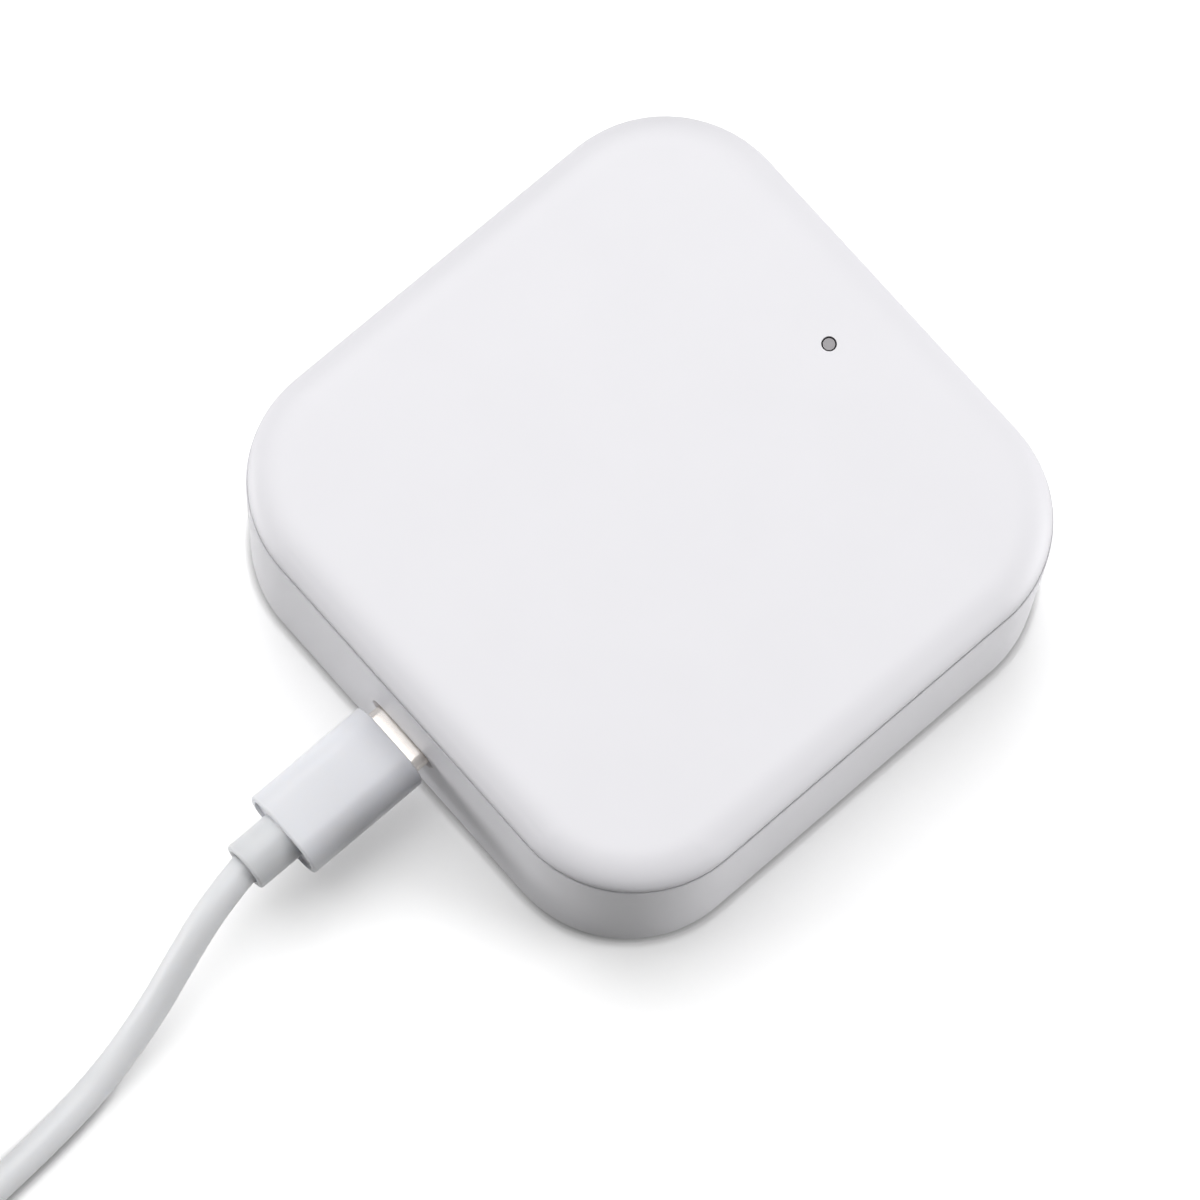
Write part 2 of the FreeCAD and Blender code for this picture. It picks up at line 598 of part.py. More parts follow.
def make_main_board():
    """The main board, with a hole for each of its screws."""
    body = new_body("main_board")
    middle = f"({BOARD_BACK} - {BOARD_FRONT}) / 2"
    outline = new_sketch(body, "outline", BOARD_UNDER, along=middle)
    draw_rounded(outline, f"2 * {BOARD_SIDE}", f"{BOARD_BACK} + {BOARD_FRONT}", "<board_corner>")
    pad(body, outline, "<board_thick>")
    holes = draw_circles(new_sketch(body, "holes", BOARD_TOP), BOARD_SCREW_SPOTS, "<board_hole>")
    pocket(body, holes, "<board_thick>")


def make_socket():
    """The socket: a folded metal shell and the insulator with its tongue."""
    mouth = "(<case_side> / 2 - <socket_inset>)"
    shell = new_body("socket_shell")
    outside = draw_slot(front_sketch(shell, "outside", mouth), SOCKET_WIDTH, SOCKET_TALL)
    pad(shell, outside, "<socket_length>", backwards=True)
    inner_width = "(<plug_shell_width> + 2 * <socket_play>)"
    inner_tall = "(<plug_shell_tall> + 2 * <socket_play>)"
    inside = draw_slot(front_sketch(shell, "inside", mouth), inner_width, inner_tall)
    pocket(shell, inside, "<socket_length>")
    tongue = new_body("socket_tongue")
    back = f"({mouth} - <socket_length>)"
    seat = draw_slot(front_sketch(tongue, "block", back), inner_width, inner_tall)
    pad(tongue, seat, "<socket_block>")
    blade = front_sketch(tongue, "blade", f"({back} + <socket_block>)")
    width = "<plug_slot_width> - 2 * <tongue_side_play>"
    draw_rounded(blade, width, "<plug_slot_tall> - 2 * <tongue_play>", "<tongue_round>")
    pad(tongue, blade, "<socket_length> - <socket_block> - <tongue_back>")


def make_radio_module():
    """The network radio: its own small board, a shield can and a printed antenna."""
    size = ("<module_width>", "<module_length>", "<module_thick>")
    keep(block("radio_module_board", *size, MODULE_X, MODULE_Y, BOARD_TOP))
    top = f"({BOARD_TOP} + <module_thick>)"
    antenna_room = "(<trace_inset> + <trace_reach> + <can_gap>)"
    can_length = f"(<module_length> - <can_inset> - {antenna_room})"
    can_y = f"({MODULE_Y} + (<can_inset> - {antenna_room}) / 2)"
    size = ("<module_width> - 2 * <can_inset>", can_length, "<can_height>")
    can = block("shield_blank", *size, MODULE_X, can_y, top)
    roof = value(f"{top} + <can_height>")
    keep(bevelled("radio_module_shield", can, "<can_bevel>", edge_at("Z", roof)))
    # The printed line runs to and fro across the end of the module.
    count = int((value("<module_width>") - 2 * value("<trace_inset>")) // value("<trace_pitch>"))
    back = f"({MODULE_Y} + <module_length> / 2 - <trace_inset>)"
    line = ("<trace_width>", "<trace_reach>", "<trace_thick>")
    turn = ("(<trace_pitch> + <trace_width>)", "<trace_width>", "<trace_thick>")
    pieces = []
    for index in range(count):
        x = f"({MODULE_X} + ({index} - {count - 1} / 2) * <trace_pitch>)"
        y = f"({back} - <trace_reach> / 2)"
        pieces.append(block(f"trace_line_{index}", *line, x, y, top))
        if index == count - 1:
            continue
        x = f"({MODULE_X} + ({index} + 0.5 - {count - 1} / 2) * <trace_pitch>)"
        near = f"({back} - <trace_width> / 2)"
        far = f"({back} - <trace_reach> + <trace_width> / 2)"
        y = near if index % 2 == 0 else far
        pieces.append(block(f"trace_turn_{index}", *turn, x, y, top))
    keep(joined("radio_module_antenna", pieces))


def make_small_parts():
    """The parts that are soldered on the main board."""
    chip = ("<chip_side>", "<chip_side>", "<chip_height>")
    keep(block("lock_radio_chip", *chip, CHIP_X, CHIP_Y, BOARD_TOP))
    crystal_y = f"({CHIP_Y} - <chip_side> / 2 - <part_gap> - <crystal_width> / 2)"
    crystal = ("<crystal_length>", "<crystal_width>", "<crystal_height>")
    keep(block("lock_radio_crystal", *crystal, CHIP_X, crystal_y, BOARD_TOP))
    antenna_y = f"({BOARD_BACK} - <ceramic_antenna_width> / 2 - <fit_gap>)"
    antenna = ("<ceramic_antenna_length>", "<ceramic_antenna_width>", "<ceramic_antenna_height>")
    antenna_x = f"({CHIP_X} + <part_gap>)"
    keep(block("lock_radio_antenna", *antenna, antenna_x, antenna_y, BOARD_TOP))

    lead = ("<lead_width>", "<lead_reach>", "<lead_thick>")
    size = ("<memory_length>", "<memory_width>", "<memory_height>")
    pieces = [block("memory_body", *size, CHIP_X, MEMORY_Y, BOARD_TOP)]
    for side in (-1, 1):
        for index in range(4):
            x = f"({CHIP_X} + ({index} - 1.5) * <lead_pitch>)"
            y = f"({MEMORY_Y} + ({side}) * (<memory_width> + <lead_reach>) / 2)"
            pieces.append(block(f"memory_lead_{side + 1}_{index}", *lead, x, y, BOARD_TOP))
    keep(joined("memory_chip", pieces))

    size = ("<regulator_length>", "<regulator_width>", "<regulator_height>")
    pieces = [block("regulator_body", *size, CHIP_X, REGULATOR_Y, BOARD_TOP)]
    lead = ("2 * <lead_width>", "<lead_reach>", "<lead_thick>")
    lead_y = f"({REGULATOR_Y} - (<regulator_width> + <lead_reach>) / 2)"
    tab_y = f"({REGULATOR_Y} + (<regulator_width> + <lead_reach>) / 2)"
    for index in (-1, 0, 1):
        x = f"({CHIP_X} + ({index}) * <regulator_pitch>)"
        pieces.append(block(f"regulator_lead_{index + 1}", *lead, x, lead_y, BOARD_TOP))
    tab = ("<regulator_length> / 2", "<lead_reach>", "<lead_thick>")
    pieces.append(block("regulator_tab", *tab, CHIP_X, tab_y, BOARD_TOP))
    keep(joined("voltage_regulator", pieces))

    bulk_x = f"({CHIP_X} + (<regulator_length> + <bulk_width>) / 2 + <part_gap>)"
    bulk = [
        block(f"bulk_{index}", "<bulk_width>", "<bulk_length>", "<bulk_height>", bulk_x,
              f"({REGULATOR_Y} + ({2 * index - 1}) * (<bulk_length> + <part_gap>) / 2)", BOARD_TOP)
        for index in (0, 1)
    ]
    group("bulk_capacitors", bulk)
    row_x = f"({CHIP_X} - <chip_side> / 2 - <part_gap>)"
    capacitors = [
        block(f"capacitor_{index}", "<small_length>", "<small_width>", "<capacitor_height>", row_x,
              f"({CHIP_Y} + ({index} - 3) * <small_pitch>)", BOARD_TOP)
        for index in range(5)
    ]
    group("ceramic_capacitors", capacitors)
    row_x = f"({CHIP_X} + <chip_side> / 2 + <part_gap>)"
    resistors = [
        block(f"resistor_{index}", "<small_length>", "<small_width>", "<resistor_height>", row_x,
              f"({CHIP_Y} + ({index} - 2) * <small_pitch>)", BOARD_TOP)
        for index in range(4)
    ]
    group("chip_resistors", resistors)
    lamp = ("<lamp_length>", "<lamp_width>", "<lamp_height>")
    keep(block("indicator_lamp", *lamp, "0", LAMP_Y, BOARD_TOP))


def make_collar(name, face, away, across, height):
    """A strain relief turned about the cord's axis, from inside a plug's face to its bevelled end."""
    body = new_body(name)
    root = f"({face} - ({away}) * <plug_recess>)"
    sketch = new_sketch(body, "profile", across, "YZ_Plane", root, height)
    length = "(<collar_length> + <plug_recess>)"
    points = [
        ("0", "0"),
        ("0", "<collar_dia> / 2"),
        (f"({away}) * ({length} - <collar_bevel>)", "<collar_dia> / 2"),
        (f"({away}) * {length}", "<collar_dia> / 2 - <collar_bevel>"),
        (f"({away}) * {length}", "0"),
    ]
    draw_profile(sketch, points)
    turned = body.newObject("PartDesign::Revolution", f"{name}_turned")
    turned.Profile = sketch
    turned.ReferenceAxis = (sketch, ["H_Axis"])
    doc.recompute()
    return body


def make_plug():
    """The plug in the port: metal shell, insulator, sleeve and strain relief."""
    tip = f"({PLUG_FRONT} - <plug_shell_out>)"
    length = "(<plug_shell_out> + <plug_seat>)"
    inner_width = "(<plug_shell_width> - 2 * <plug_shell_wall>)"
    inner_tall = "(<plug_shell_tall> - 2 * <plug_shell_wall>)"
    shell = new_body("plug_shell")
    outside = front_sketch(shell, "outside", tip)
    draw_slot(outside, "<plug_shell_width>", "<plug_shell_tall>")
    pad(shell, outside, length)
    inside = draw_slot(front_sketch(shell, "inside", tip), inner_width, inner_tall)
    pocket(shell, inside, length, backwards=True)
    insert = new_body("plug_insert")
    start = f"({tip} + <plug_shell_wall>)"
    block_length = f"({length} - <plug_shell_wall>)"
    filled = draw_slot(front_sketch(insert, "block", start), inner_width, inner_tall)
    pad(insert, filled, block_length)
    slot = front_sketch(insert, "slot", start)
    draw_rounded(slot, "<plug_slot_width>", "<plug_slot_tall>", "<plug_slot_round>")
    pocket(insert, slot, "<plug_slot_deep>", backwards=True)
    sleeve = new_body("plug_sleeve")
    outside = front_sketch(sleeve, "outside", PLUG_FRONT)
    draw_rounded(outside, "<plug_width>", "<plug_tall>", PLUG_SIDE_ROUND)
    pad(sleeve, outside, "<plug_length>")
    dress("Chamfer", sleeve, edge_at("Y", -value(PLUG_FRONT)), "<plug_rim>")
    seat = front_sketch(sleeve, "seat", PLUG_FRONT)
    draw_slot(seat, "<plug_shell_width>", "<plug_shell_tall>")
    pocket(sleeve, seat, "<plug_seat>", backwards=True)
    recess = draw_rounded(
        front_sketch(sleeve, "recess", PLUG_REAR),
        "<plug_width> - 2 * <plug_rim>",
        "<plug_tall> - 2 * <plug_rim>",
        f"{PLUG_SIDE_ROUND} - <plug_rim>",
    )
    pocket(sleeve, recess, "<plug_recess>")
    return make_collar("plug_collar", f"(0 - {PLUG_REAR})", -1, "0", "<port_height>")


def make_power_plug():
    """The flat rectangular plug at the other end, resting on the surface."""
    height = "(<far_tall> / 2)"
    spot = {"across": FAR_X, "along": height}
    front = f"({FAR_FRONT} + <far_length>)"
    tip = f"({front} + <far_shell_out>)"
    length = "(<far_shell_out> + <plug_seat>)"
    body = new_body("power_plug_body")
    outside = front_sketch(body, "outside", FAR_FRONT, **spot)
    draw_rounded(outside, "<far_width>", "<far_tall>", "<far_side_round>")
    pad(body, outside, "<far_length>")
    dress("Chamfer", body, edge_at("Y", -value(FAR_FRONT), -value(front)), "<plug_rim>")
    seat = front_sketch(body, "seat", front, **spot)
    draw_rounded(seat, "<far_shell_width>", "<far_shell_tall>", "<far_shell_wall>")
    pocket(body, seat, "<plug_seat>")
    bore = front_sketch(body, "bore", FAR_FRONT, **spot)
    draw_circles(bore, [(0, "0", 0, "0")], "<collar_dia>")
    pocket(body, bore, "<plug_recess>", backwards=True)
    shell = new_body("power_plug_shell")
    outside = front_sketch(shell, "outside", tip, **spot)
    draw_rounded(outside, "<far_shell_width>", "<far_shell_tall>", "<far_shell_wall>")
    pad(shell, outside, length, backwards=True)
    inner_width = "(<far_shell_width> - 2 * <far_shell_wall>)"
    inner_tall = "(<far_shell_tall> - 2 * <far_shell_wall>)"
    inside = front_sketch(shell, "inside", tip, **spot)
    draw_rounded(inside, inner_width, inner_tall, "<far_shell_wall> / 2")
    pocket(shell, inside, length)
    block_z = f"({height} - {inner_tall} / 2)"
    middle = f"(0 - {tip} + ({length} + <far_shell_wall>) / 2)"
    size = (inner_width, f"({length} - <far_shell_wall>)", "<far_insert_tall>")
    insert = block("power_plug_block", *size, FAR_X, middle, block_z)
    # Its lower edges clear the small rounds inside the shell.
    low_edges = edge_at("Z", value(block_z))
    keep(bevelled("power_plug_insert", insert, "<far_shell_wall> / 2", low_edges))
    contact_y = f"(<far_shell_wall> + <far_contact_inset> + <far_contact_length> / 2 - {tip})"
    contact_z = f"({block_z} + <far_insert_tall>)"
    contacts = [
        block(f"contact_{index}", "<far_contact_width>", "<far_contact_length>", "<far_contact_thick>",
              f"({FAR_X} + ({index} - 1.5) * <far_contact_pitch>)", contact_y, contact_z)
        for index in range(4)
    ]
    group("power_plug_contacts", contacts)
    return make_collar("power_plug_collar", f"(0 - {FAR_FRONT})", 1, FAR_X, height)


def rounded_path(route):
    """Return straight edges joined by tangent arcs along a route, and print the radii."""
    runs = [(b - a).Length for a, b in zip(route, route[1:])]
    edges = []
    radii = []
    start = route[0]
    for index in range(1, len(route) - 1):
        corner = route[index]
        before = (route[index - 1] - corner).normalize()
        after = (route[index + 1] - corner).normalize()
        half_turn = (math.pi - before.getAngle(after)) / 2
        reach = ARC_SHARE * min(runs[index - 1], runs[index])
        radii.append(reach / math.tan(half_turn))
        arc_start = corner + before * reach
        arc_end = corner + after * reach
        bisector = (before + after).normalize()
        sagitta = radii[-1] / math.cos(half_turn) - radii[-1]
        edges.append(Part.LineSegment(start, arc_start).toShape())
        edges.append(Part.Arc(arc_start, corner + bisector * sagitta, arc_end).toShape())
        start = arc_end
    edges.append(Part.LineSegment(start, route[-1]).toShape())
    if radii:
        print("cord radii in mm:", ", ".join(f"{radius:.1f}" for radius in radii))
    return Part.Wire(edges)


def cord_tube(route):
    """Sweep the cord's round section along a route."""
    path = rounded_path(route)
    circle = Part.Circle(route[0], route[1] - route[0], value("<cord_dia>") / 2)
    tube = path.makePipe(Part.Face(Part.Wire(circle.toShape())))
    section = math.pi * value("<cord_dia>") ** 2 / 4
    print(f"cord {path.Length:.1f} mm long, {tube.Volume:.2f} mm3, section times length "
          f"{section * path.Length:.2f} mm3")
    return tube


def make_cord(plug_collar, power_collar):
    """The cord: a coil's outer shape and the free stretches that end flush on it and on a collar."""
    coil = new_body("cord_coil")
    half_band = "(<coil_columns> * <cord_dia> / 2)"
    tall = "(<coil_layers> * <cord_dia>)"
    sketch = new_sketch(coil, "section", "0", "XZ_Plane")
    inner = f"(<coil_mean_dia> / 2 - {half_band})"
    outer = f"(<coil_mean_dia> / 2 + {half_band})"
    draw_profile(sketch, [(inner, "0"), (outer, "0"), (outer, tall), (inner, tall)])
    ring = coil.newObject("PartDesign::Revolution", "cord_coil_ring")
    ring.Profile = sketch
    ring.ReferenceAxis = (origin_plane(coil, "Z_Axis"), [""])
    coil.setExpression("Placement.Base.x", expand(COIL_X))
    coil.setExpression("Placement.Base.y", expand(COIL_Y))
    doc.recompute()
    lies_at = value("<cord_dia>") / 2
    exit_y = -value(CORD_EXIT)
    free_route = [FreeCAD.Vector(x, exit_y + y, lies_at + z) for x, y, z in CORD_ROUTE]
    axis = (value(FAR_X), value("<far_tall> / 2"))
    far_route = [FreeCAD.Vector(axis[0], y, axis[1]) for y in (value(COIL_Y), -value(FAR_END))]
    for name, route, collar in [
        ("cord", free_route, plug_collar),
        ("cord_tail", far_route, power_collar),
    ]:
        free = cord_tube(route).cut([coil.Shape, collar.Shape])
        longest = max(free.Solids, key=lambda solid: solid.Volume)
        item = doc.addObject("Part::Feature", name)
        item.Shape = longest
        item.Placement = FreeCAD.Placement()
        keep(item)


make_base_housing()
make_top_cover()
make_feet_and_screws()
make_light_pipe()
make_main_board()
make_socket()
make_radio_module()
make_small_parts()
make_cord(make_plug(), make_power_plug())
doc.recompute()

faults = [item.Name for item in doc.Objects if {"Invalid", "Error"} & set(item.State)]
if faults:
    raise RuntimeError("failed objects: " + ", ".join(faults))
for item in NODES:
    if item.Shape.isNull() or not item.Shape.isValid():
        raise RuntimeError(f"{item.Label} has no valid shape")

os.makedirs("parts", exist_ok=True)
for item in NODES:
    item.Shape.exportStep(f"parts/{item.Label}.step")
    box = item.Shape.optimalBoundingBox(False, False)
    print(f"{item.Label}: {len(item.Shape.Solids)} solids, {item.Shape.Volume:.1f} mm3, "
          f"x {box.XMin:.2f} {box.XMax:.2f} y {box.YMin:.2f} {box.YMax:.2f} "
          f"z {box.ZMin:.2f} {box.ZMax:.2f}")
print(len(NODES), "nodes")
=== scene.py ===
# %% [markdown]
# # A smart lock gateway
# This notebook dresses a small desk gateway: a white rounded square case, a lead in its side
# and the coil of that lead. The measured solids come first and stay the frame for all that
# follows. The cells add what a solid model leaves out: finishes, soft edges, the wound cord,
# a floor and the light.

# %% Load the measured solids
import bpy
import bmesh
import json
import math
from mathutils import Matrix, Vector


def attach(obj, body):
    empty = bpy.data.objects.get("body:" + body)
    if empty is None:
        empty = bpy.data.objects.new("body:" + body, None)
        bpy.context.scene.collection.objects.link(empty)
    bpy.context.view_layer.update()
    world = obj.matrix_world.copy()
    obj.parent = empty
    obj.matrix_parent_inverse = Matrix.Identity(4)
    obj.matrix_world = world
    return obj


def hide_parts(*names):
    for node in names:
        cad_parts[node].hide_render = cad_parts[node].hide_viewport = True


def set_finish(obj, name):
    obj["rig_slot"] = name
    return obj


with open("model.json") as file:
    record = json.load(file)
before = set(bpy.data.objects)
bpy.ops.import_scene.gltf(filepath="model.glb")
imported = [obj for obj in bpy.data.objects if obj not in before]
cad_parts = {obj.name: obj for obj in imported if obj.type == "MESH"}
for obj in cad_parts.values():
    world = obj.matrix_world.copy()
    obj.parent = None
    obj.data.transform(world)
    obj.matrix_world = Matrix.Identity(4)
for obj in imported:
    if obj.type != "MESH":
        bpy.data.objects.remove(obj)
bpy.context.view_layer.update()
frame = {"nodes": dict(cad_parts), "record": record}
solids = frame["nodes"]
MM = 0.001

# %% [markdown]
# ## The camera
# The photograph looks steeply down on the case from beside the lead, through a long lens.
# Its place was found by fitting the outlines of the case, the plug and the lamp, so the three
# directions of the camera are written out. It could be aimed at a point instead, but the
# picture is also turned a little about that line. A camera object looks along its own -Z with
# +Y up, and that gives the columns of its matrix.

# %% Place the camera
camera_data = bpy.data.cameras.new("camera")
camera_data.sensor_width = 36.0
camera_data.lens = 200.771
camera_data.clip_start = 0.05
camera_data.clip_end = 20.0
camera = bpy.data.objects.new("camera", camera_data)
bpy.context.scene.collection.objects.link(camera)
to_right = Vector((0.659633, 0.751079, 0.027657))
to_top = Vector((-0.731099, 0.632683, 0.255354))
backwards = Vector((0.174293, -0.188661, 0.966452))
camera.matrix_world = Matrix.Translation((0.129022, -0.145804, 0.712183)) @ Matrix(
    (to_right, to_top, backwards)).transposed().to_4x4()
bpy.context.scene.camera = camera
print("camera to case in mm:", round(camera.matrix_world.translation.length / MM))

# %% [markdown]
# ## The cord's line
# A lead is one piece of wire, so one smooth curve carries all of it: out of the plug, down to
# the table, once along it, round the coil and on to the far plug. It could be a swept tube, but
# a curve keeps the line easy to read and to change. The first eight points follow the route of
# the solid model and were moved by up to a millimetre, to lie on the photograph's line. The coil
# has four turns side by side, in two layers: the cord winds inwards on the table, climbs at the
# middle, and winds outwards again on the second layer.

# %% The free stretch from the plug to the coil
CORD = 3.5 * MM
REST_HEIGHT = 1.75  # the cord's middle when it lies on the table, in mm
FAR_X, FAR_HEIGHT = 12.0, 3.8  # where the far plug's middle line lies, in mm
free_route = [
    (0.0, -57.1, 11.43), (0.8, -62.2, 10.77), (2.4, -68.0, 8.25), (4.3, -74.4, 4.95),
    (5.95, -82.2, 2.3), (7.0, -91.0, REST_HEIGHT), (7.6, -102.6, REST_HEIGHT),
    (8.0, -114.0, REST_HEIGHT),
]
far_route = [
    (12.15, -135.0, 5.2), (FAR_X, -140.5, 4.3), (FAR_X, -146.0, FAR_HEIGHT),
    (FAR_X, -151.4, FAR_HEIGHT),
]
print("points from the plug to the coil:", len(free_route))

# %% The coil's turns
COIL_MIDDLE = (-14.0, -130.0)
OUTER_TURN = 26.25
PITCH = 3.5
STEPS_PER_TURN = 16
# A smooth curve cuts the corners between its points, so the points stand a little outside.
CUT = math.cos(math.pi / STEPS_PER_TURN)


def eased(turned, start, span):
    """Rise from 0 to 1 while the turn goes from start to start + span degrees."""
    t = min(max((turned - start) / span, 0.0), 1.0)
    return t * t * (3 - 2 * t)


coil_route = []
ENTRY_ANGLE, TURNED = 25.0, 2545.0
# In degrees: how long the cord takes to change to the next column, where in a turn it does so
# inwards and outwards, and where and how long it climbs to the second layer.
SHIFT_SPAN, INWARDS_AT, OUTWARDS_AT, CLIMB_AT, CLIMB_SPAN = 65, 160, 35, 1180, 60
count = round(TURNED * STEPS_PER_TURN / 360)
for step in range(count + 1):
    turned = TURNED * step / count
    column = sum(eased(turned, INWARDS_AT + 360 * k, SHIFT_SPAN) for k in (0, 1, 2))
    column -= sum(eased(turned, OUTWARDS_AT + 360 * k, SHIFT_SPAN) for k in (4, 5, 6))
    radius = (OUTER_TURN - PITCH * column) / CUT
    angle = math.radians(ENTRY_ANGLE - turned)
    height = REST_HEIGHT + PITCH * eased(turned, CLIMB_AT, CLIMB_SPAN)
    coil_route.append((COIL_MIDDLE[0] + radius * math.cos(angle),
                       COIL_MIDDLE[1] + radius * math.sin(angle), height))
print("turns in the coil:", round(TURNED / 360, 2), "points:", len(coil_route))

# %% Lay the cord along them
cord_curve = bpy.data.curves.new("cord_jacket", "CURVE")
cord_curve.dimensions = "3D"
cord_curve.resolution_u = 6
# Each point carries the cord's radius, so that the curve's own box fits the cord.
cord_curve.bevel_depth = 1.0
cord_curve.bevel_resolution = 6
cord_curve.use_fill_caps = True
line = cord_curve.splines.new("NURBS")
route = free_route + coil_route + far_route
line.points.add(len(route) - 1)
for point, spot in zip(line.points, route):
    point.co = (*[c * MM for c in spot], 1.0)
    point.radius = CORD / 2
line.order_u = 3
line.use_endpoint_u = True
line.resolution_u = 6
line.use_smooth = True
cord_piece = bpy.data.objects.new("cord_jacket", cord_curve)
bpy.context.scene.collection.objects.link(cord_piece)
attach(cord_piece, "root")
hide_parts("cord", "cord_coil", "cord_tail")
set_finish(cord_piece, "cord_jacket")
print("length along the curve in mm:", round(line.calc_length() / MM))

# %% [markdown]
# ## Helpers for new pieces
# Every new piece starts as a bmesh, is shaped by operators and becomes an object at the
# origin. Each one prints how many faces it has and whether it is closed.

# %% Turn a bmesh into a piece
def bmesh_copy(mesh):
    """Return a bmesh that holds a mesh."""
    copy = bmesh.new()
    copy.from_mesh(mesh)
    return copy


def finish_piece(mesh_edit, name, slot_name, sharp=35.0):
    """Make an object of a bmesh, smooth except at edges sharper than an angle."""
    bmesh.ops.remove_doubles(mesh_edit, verts=mesh_edit.verts, dist=1e-7)
    bmesh.ops.recalc_face_normals(mesh_edit, faces=mesh_edit.faces)
    mesh = bpy.data.meshes.new(name)
    mesh_edit.to_mesh(mesh)
    mesh_edit.free()
    mesh.shade_smooth()
    mesh.set_sharp_from_angle(angle=math.radians(sharp))
    piece = bpy.data.objects.new(name, mesh)
    bpy.context.scene.collection.objects.link(piece)
    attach(piece, "root")
    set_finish(piece, slot_name)
    test = bmesh_copy(mesh)
    closed = all(edge.is_manifold for edge in test.edges)
    test.free()
    print(name, len(mesh.polygons), "faces", "closed" if closed else "OPEN")
    return piece


# %% A rectangle with rounded corners
SAME_PLACE = 0.004 * MM


def rounded_plate(mesh_edit, width, tall, radius, segments):
    """Add a face with rounded corners about the origin, in the plane of X and Y."""
    made = bmesh.ops.create_grid(mesh_edit, x_segments=1, y_segments=1, size=0.5)
    bmesh.ops.scale(mesh_edit, vec=(width, tall, 1.0), verts=made["verts"])
    bmesh.ops.bevel(mesh_edit, geom=made["verts"], offset=radius, offset_type="OFFSET",
                    segments=segments, profile=0.5, affect="VERTICES", material=-1)
    return max(mesh_edit.faces, key=lambda face: face.calc_area())


def ring_edges(mesh_edit, axis, place):
    """Return the edges that lie at one place along an axis."""
    return [edge for edge in mesh_edit.edges
            if all(abs(vert.co[axis] - place) < SAME_PLACE for vert in edge.verts)]


# %% [markdown]
# ## The case's soft edges
# The cover meets the base high on the side in a fine soft groove that shows as a grey line all
# round. It is there because the cover stands back from the base's rim by a fifth of a
# millimetre, so that the two mouldings may differ a little and still look even. No moulded
# edge is a knife edge either. The measured solids stay as they are: each is copied, its
# triangles are joined to faces, and the copy is pushed in and rounded where it should be.

# %% Where a place lies on the case
# All in mm: half the side, the corner's radius, the seam's height, a height above the bevel
# under the base, half the width in which the port lies, and how far the cover stands back.
HALF_SIDE, CORNER, SEAM, OVER_BEVEL, PORT_REACH, LEDGE = 35.0, 15.0, 23.6, 1.6, 10.0, 0.2
# How near counts as touching, and how far inside the outline an outer edge may lie, in mm.
TOUCH, COVER_RIM, BASE_RIM = 0.01, 0.6, 0.7
FLAT, SHARP = math.radians(0.3), math.radians(40)


def from_outline(spot):
    """Return how far inside the case's outline a place in mm lies, and the way outwards."""
    straight = HALF_SIDE - CORNER
    way = Vector([math.copysign(max(abs(c) - straight, 0.0), c) for c in (spot.x, spot.y)])
    return CORNER - way.length, Vector((*way, 0.0)).normalized()


# %% Round the chosen edges of a copy
def softened(solid, name, chosen, width, stand_back=0.0):
    """Copy a solid, stand its outer wall back, and round the sharp edges that a test chooses."""
    edit = bmesh_copy(solid.data)
    bmesh.ops.remove_doubles(edit, verts=edit.verts, dist=0.001 * MM)
    bmesh.ops.dissolve_limit(edit, angle_limit=FLAT, verts=edit.verts, edges=edit.edges)
    for vert in edit.verts:
        inside, outwards = from_outline(vert.co / MM)
        if inside < stand_back:
            vert.co -= outwards * (stand_back - inside) * MM
    edges = [edge for edge in edit.edges if edge.is_manifold
             and edge.calc_face_angle() > SHARP
             and all(chosen(vert.co / MM) for vert in edge.verts)]
    bmesh.ops.bevel(edit, geom=edges, offset=width, offset_type="OFFSET", segments=3,
                    profile=0.5, affect="EDGES", clamp_overlap=True, material=-1)
    piece = finish_piece(edit, name, "case_plastic", sharp=40.0)
    level = piece.modifiers.new("even shading", "WEIGHTED_NORMAL")
    level.keep_sharp = True
    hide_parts(solid.name)
    print("edges rounded:", len(edges))
    return piece


# %% The cover and the base
def on_cover_edge(spot):
    """Tell whether a place in mm lies on the cover's lower outer edge."""
    return abs(spot.z - SEAM) < TOUCH and from_outline(spot)[0] < COVER_RIM


def on_base_edge(spot):
    """Tell whether a place in mm lies on the base's seam, its lower bevel or its port."""
    at_seam = abs(spot.z - SEAM) < TOUCH
    at_port = abs(spot.y + HALF_SIDE) < TOUCH and abs(spot.x) < PORT_REACH
    return from_outline(spot)[0] < BASE_RIM and (at_seam or spot.z < OVER_BEVEL or at_port)


cover_soft = softened(solids["top_cover"], "top_cover_moulding", chosen=on_cover_edge,
                      width=0.1 * MM, stand_back=LEDGE)
base_soft = softened(solids["base_housing"], "base_housing_moulding", chosen=on_base_edge,
                     width=0.14 * MM)

# %% [markdown]
# ## The plug's sleeve
# The sleeve that fingers hold is a hard moulding over the plug, nearly a stadium in section.
# Its rear end is not flat: a thin rim stands round a shallow recess, and the cord's strain
# relief comes out of the recess. A box with a bevel would miss that rim, so the section is
# extruded, its ends are bevelled, and the rear face is inset and pushed in.

# %% Mould the sleeve
PORT_HEIGHT = 11.4 * MM
END_ROUND = 0.3 * MM


